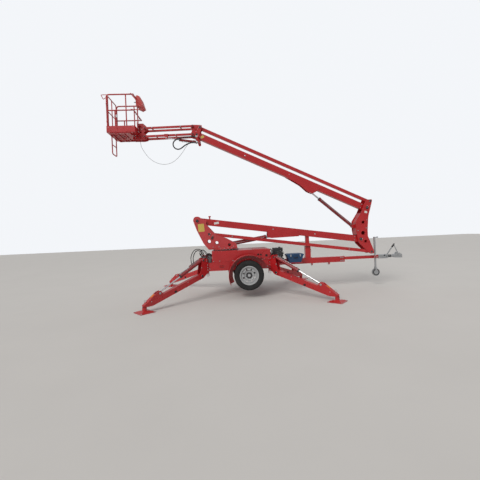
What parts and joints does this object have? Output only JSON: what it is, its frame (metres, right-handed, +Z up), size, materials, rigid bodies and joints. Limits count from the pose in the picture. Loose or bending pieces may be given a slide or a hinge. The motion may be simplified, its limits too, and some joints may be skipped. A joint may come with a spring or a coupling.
{
  "type": "trailer-mounted articulating boom lift",
  "caption": "Towable articulating boom lift with a work basket, standing on splayed outriggers with its wheels clear of the ground; booms half unfolded.",
  "frame": {"origin": "middle of the machine's length and width, on the ground plane under the outrigger pads", "axes": "+X towards the drawbar's tow coupler, +Y towards the far side in the picture, +Z up"},
  "size_m": [7.3898, 3.5468, 4.99],
  "materials": {
    "red_paint": "semi-gloss signal red",
    "dark_red_paint": "semi-gloss dark red",
    "rod_chrome": "polished",
    "tyre": "matt",
    "rim_silver": "satin silver",
    "dark_metal": "satin black",
    "galvanised": "dull grey",
    "tool_box_plastic": "matt blue",
    "console_plastic": "satin red",
    "hose_rubber": "matt black",
    "cable_grey": "matt grey"
  },
  "bodies": {
    "chassis": {"chassis_frame": "red_paint", "deck": "red_paint", "slew_ring": "dark_metal", "axle": "dark_metal", "fenders": "red_paint", "drawbar": "red_paint", "drawbar_extension": "red_paint", "boom_rest": "red_paint", "jockey_wheel": "galvanised", "coupler": "galvanised", "brake_lever": "galvanised", "power_pack": "dark_metal", "tool_box": "tool_box_plastic", "valve_bank": "dark_metal"},
    "wheel_near": {"tyre_near": "tyre", "rim_near": "rim_silver"},
    "wheel_far": {"tyre_far": "tyre", "rim_far": "rim_silver"},
    "outrigger_near_rear": {"outrigger_leg_near_rear": "red_paint", "outrigger_pad_near_rear": "red_paint"},
    "outrigger_barrel_near_rear": {"outrigger_barrel_near_rear": "dark_red_paint"},
    "outrigger_rod_near_rear": {"outrigger_rod_near_rear": "rod_chrome"},
    "outrigger_near_front": {"outrigger_leg_near_front": "red_paint", "outrigger_pad_near_front": "red_paint"},
    "outrigger_barrel_near_front": {"outrigger_barrel_near_front": "dark_red_paint"},
    "outrigger_rod_near_front": {"outrigger_rod_near_front": "rod_chrome"},
    "outrigger_far_rear": {"outrigger_leg_far_rear": "red_paint", "outrigger_pad_far_rear": "red_paint"},
    "outrigger_barrel_far_rear": {"outrigger_barrel_far_rear": "dark_red_paint"},
    "outrigger_rod_far_rear": {"outrigger_rod_far_rear": "rod_chrome"},
    "outrigger_far_front": {"outrigger_leg_far_front": "red_paint", "outrigger_pad_far_front": "red_paint"},
    "outrigger_barrel_far_front": {"outrigger_barrel_far_front": "dark_red_paint"},
    "outrigger_rod_far_front": {"outrigger_rod_far_front": "rod_chrome"},
    "turntable": {"turret": "red_paint"},
    "lower_boom": {"lower_boom": "red_paint"},
    "lower_links": {"lower_links": "red_paint"},
    "lower_ram_barrel": {"lower_ram_barrel": "dark_red_paint"},
    "lower_ram_rod": {"lower_ram_rod": "rod_chrome"},
    "elbow": {"elbow": "red_paint"},
    "upper_boom": {"upper_boom": "red_paint"},
    "upper_tie": {"upper_tie": "red_paint"},
    "upper_ram_barrel": {"upper_ram_barrel": "dark_red_paint"},
    "upper_ram_rod": {"upper_ram_rod": "rod_chrome"},
    "boom_head": {"boom_head": "red_paint", "jib_hose": "hose_rubber"},
    "jib_lower": {"jib_lower_arm": "red_paint"},
    "jib_upper": {"jib_upper_arm": "red_paint"},
    "jib_ram_barrel": {"jib_ram_barrel": "dark_red_paint"},
    "jib_ram_rod": {"jib_ram_rod": "rod_chrome"},
    "basket": {"basket_bracket": "red_paint", "basket_rails": "red_paint", "basket_floor": "red_paint", "basket_step": "red_paint", "control_console": "console_plastic", "basket_cable": "cable_grey"},
    "gate": {"basket_gate": "red_paint"}
  },
  "joints": [
    {"name": "wheel_near_spin", "type": "hinge", "parent": "chassis", "child": "wheel_near", "pos_m": [-0.3731, -0.735, 0.53], "axis": [0, 1, 0], "continuous": true},
    {"name": "wheel_far_spin", "type": "hinge", "parent": "chassis", "child": "wheel_far", "pos_m": [-0.3731, 0.735, 0.53], "axis": [0, 1, 0], "continuous": true},
    {"name": "outrigger_near_rear_fold", "type": "hinge", "parent": "chassis", "child": "outrigger_near_rear", "pos_m": [-1.4961, -0.6, 0.55], "axis": [-0.6626, 0.749, 0], "range_deg": [0, 92]},
    {"name": "outrigger_barrel_near_rear_turn", "type": "hinge", "parent": "chassis", "child": "outrigger_barrel_near_rear", "pos_m": [-1.45865, -0.56687, 0.91], "axis": [-0.6626, 0.749, 0], "range_deg": [-2, 101.5]},
    {"name": "outrigger_rod_near_rear_slide", "type": "slide", "parent": "outrigger_barrel_near_rear", "child": "outrigger_rod_near_rear", "axis": [-0.6704, -0.5931, -0.4459], "range_m": [-0.51, 0.01]},
    {"name": "outrigger_near_front_fold", "type": "hinge", "parent": "chassis", "child": "outrigger_near_front", "pos_m": [0.3139, -0.6, 0.55], "axis": [-0.6626, -0.749, 0], "range_deg": [0, 92]},
    {"name": "outrigger_barrel_near_front_turn", "type": "hinge", "parent": "chassis", "child": "outrigger_barrel_near_front", "pos_m": [0.27645, -0.56687, 0.91], "axis": [-0.6626, -0.749, 0], "range_deg": [-2, 101.5]},
    {"name": "outrigger_rod_near_front_slide", "type": "slide", "parent": "outrigger_barrel_near_front", "child": "outrigger_rod_near_front", "axis": [0.6704, -0.5931, -0.4459], "range_m": [-0.51, 0.01]},
    {"name": "outrigger_far_rear_fold", "type": "hinge", "parent": "chassis", "child": "outrigger_far_rear", "pos_m": [-1.4961, 0.6, 0.55], "axis": [0.6626, 0.749, 0], "range_deg": [0, 92]},
    {"name": "outrigger_barrel_far_rear_turn", "type": "hinge", "parent": "chassis", "child": "outrigger_barrel_far_rear", "pos_m": [-1.45865, 0.56687, 0.91], "axis": [0.6626, 0.749, 0], "range_deg": [-2, 101.5]},
    {"name": "outrigger_rod_far_rear_slide", "type": "slide", "parent": "outrigger_barrel_far_rear", "child": "outrigger_rod_far_rear", "axis": [-0.6704, 0.5931, -0.4459], "range_m": [-0.51, 0.01]},
    {"name": "outrigger_far_front_fold", "type": "hinge", "parent": "chassis", "child": "outrigger_far_front", "pos_m": [0.3139, 0.6, 0.55], "axis": [0.6626, -0.749, 0], "range_deg": [0, 92]},
    {"name": "outrigger_barrel_far_front_turn", "type": "hinge", "parent": "chassis", "child": "outrigger_barrel_far_front", "pos_m": [0.27645, 0.56687, 0.91], "axis": [0.6626, -0.749, 0], "range_deg": [-2, 101.5]},
    {"name": "outrigger_rod_far_front_slide", "type": "slide", "parent": "outrigger_barrel_far_front", "child": "outrigger_rod_far_front", "axis": [0.6704, 0.5931, -0.4459], "range_m": [-0.51, 0.01]},
    {"name": "slew", "type": "hinge", "parent": "chassis", "child": "turntable", "pos_m": [-0.8711, 0, 1.125], "axis": [0, 0, 1], "range_deg": [-180, 180]},
    {"name": "lower_boom_lift", "type": "hinge", "parent": "turntable", "child": "lower_boom", "pos_m": [-1.5621, 0, 1.853], "axis": [0, -1, 0], "range_deg": [0, 72]},
    {"name": "lower_links_lift", "type": "hinge", "parent": "turntable", "child": "lower_links", "pos_m": [-1.2871, 0, 1.518], "axis": [0, -1, 0], "range_deg": [-1, 73]},
    {"name": "elbow_level", "type": "hinge", "parent": "lower_boom", "child": "elbow", "pos_m": [2.5639, 0, 1.226], "axis": [0, -1, 0], "range_deg": [-73, 1]},
    {"name": "upper_boom_lift", "type": "hinge", "parent": "elbow", "child": "upper_boom", "pos_m": [2.7639, 0, 2.012], "axis": [0, 1, 0], "range_deg": [-20, 46]},
    {"name": "upper_tie_lift", "type": "hinge", "parent": "elbow", "child": "upper_tie", "pos_m": [2.8589, 0, 2.184], "axis": [0, 1, 0], "range_deg": [-21, 47]},
    {"name": "head_level", "type": "hinge", "parent": "upper_boom", "child": "boom_head", "pos_m": [-1.4861, 0, 4.022], "axis": [0, 1, 0], "range_deg": [-47, 21]},
    {"name": "jib_lift", "type": "hinge", "parent": "boom_head", "child": "jib_lower", "pos_m": [-1.5811, 0, 4.02], "axis": [0, -1, 0], "range_deg": [-30, 60]},
    {"name": "jib_upper_lift", "type": "hinge", "parent": "boom_head", "child": "jib_upper", "pos_m": [-1.5811, 0, 4.224], "axis": [0, -1, 0], "range_deg": [-31, 61]},
    {"name": "basket_level", "type": "hinge", "parent": "jib_lower", "child": "basket", "pos_m": [-2.7561, 0, 3.995], "axis": [0, -1, 0], "range_deg": [-61, 31]},
    {"name": "gate_swing", "type": "hinge", "parent": "basket", "child": "gate", "pos_m": [-3.5688, -0.3477, 4.212], "axis": [0, 0, -1], "range_deg": [0, 62]},
    {"name": "lower_ram_barrel_turn", "type": "hinge", "parent": "turntable", "child": "lower_ram_barrel", "pos_m": [-1.0211, 0, 1.205], "axis": [0, -1, 0], "range_deg": [-1.5, 71.42]},
    {"name": "lower_ram_rod_slide", "type": "slide", "parent": "lower_ram_barrel", "child": "lower_ram_rod", "axis": [0.9888, 0, 0.1491], "range_m": [-0.005, 0.9955]},
    {"name": "upper_ram_barrel_turn", "type": "hinge", "parent": "elbow", "child": "upper_ram_barrel", "pos_m": [2.4139, 0, 1.565], "axis": [0, 1, 0], "range_deg": [-19.49, 42.87]},
    {"name": "upper_ram_rod_slide", "type": "slide", "parent": "upper_ram_barrel", "child": "upper_ram_rod", "axis": [-0.7537, 0, 0.6572], "range_m": [-0.2105, 0.4777]},
    {"name": "jib_ram_barrel_turn", "type": "hinge", "parent": "boom_head", "child": "jib_ram_barrel", "pos_m": [-1.4311, -0.16, 3.8], "axis": [0, -1, 0], "range_deg": [-25.98, 50.45]},
    {"name": "jib_ram_rod_slide", "type": "slide", "parent": "jib_ram_barrel", "child": "jib_ram_rod", "axis": [-0.9879, 0, 0.1553], "range_m": [-0.2769, 0.1409]}
  ],
  "couplings": [
    {"joint": "outrigger_barrel_near_rear_turn", "follows": "outrigger_near_rear_fold", "ratio": 1.0847},
    {"joint": "outrigger_rod_near_rear_slide", "follows": "outrigger_near_rear_fold", "m_per_rad": -0.3145},
    {"joint": "outrigger_barrel_near_front_turn", "follows": "outrigger_near_front_fold", "ratio": 1.0847},
    {"joint": "outrigger_rod_near_front_slide", "follows": "outrigger_near_front_fold", "m_per_rad": -0.3145},
    {"joint": "outrigger_barrel_far_rear_turn", "follows": "outrigger_far_rear_fold", "ratio": 1.0847},
    {"joint": "outrigger_rod_far_rear_slide", "follows": "outrigger_far_rear_fold", "m_per_rad": -0.3145},
    {"joint": "outrigger_barrel_far_front_turn", "follows": "outrigger_far_front_fold", "ratio": 1.0847},
    {"joint": "outrigger_rod_far_front_slide", "follows": "outrigger_far_front_fold", "m_per_rad": -0.3145},
    {"joint": "lower_links_lift", "follows": "lower_boom_lift", "ratio": 1},
    {"joint": "elbow_level", "follows": "lower_boom_lift", "ratio": -1},
    {"joint": "upper_tie_lift", "follows": "upper_boom_lift", "ratio": 1},
    {"joint": "head_level", "follows": "upper_boom_lift", "ratio": -1},
    {"joint": "jib_upper_lift", "follows": "jib_lift", "ratio": 1},
    {"joint": "basket_level", "follows": "jib_lift", "ratio": -1},
    {"joint": "lower_ram_barrel_turn", "follows": "lower_boom_lift", "ratio": 0.9711},
    {"joint": "lower_ram_rod_slide", "follows": "lower_boom_lift", "m_per_rad": 0.7882},
    {"joint": "upper_ram_barrel_turn", "follows": "upper_boom_lift", "ratio": 0.8994},
    {"joint": "upper_ram_rod_slide", "follows": "upper_boom_lift", "m_per_rad": 0.5888},
    {"joint": "jib_ram_barrel_turn", "follows": "jib_lift", "ratio": 0.8159},
    {"joint": "jib_ram_rod_slide", "follows": "jib_lift", "m_per_rad": -0.2596}
  ]
}
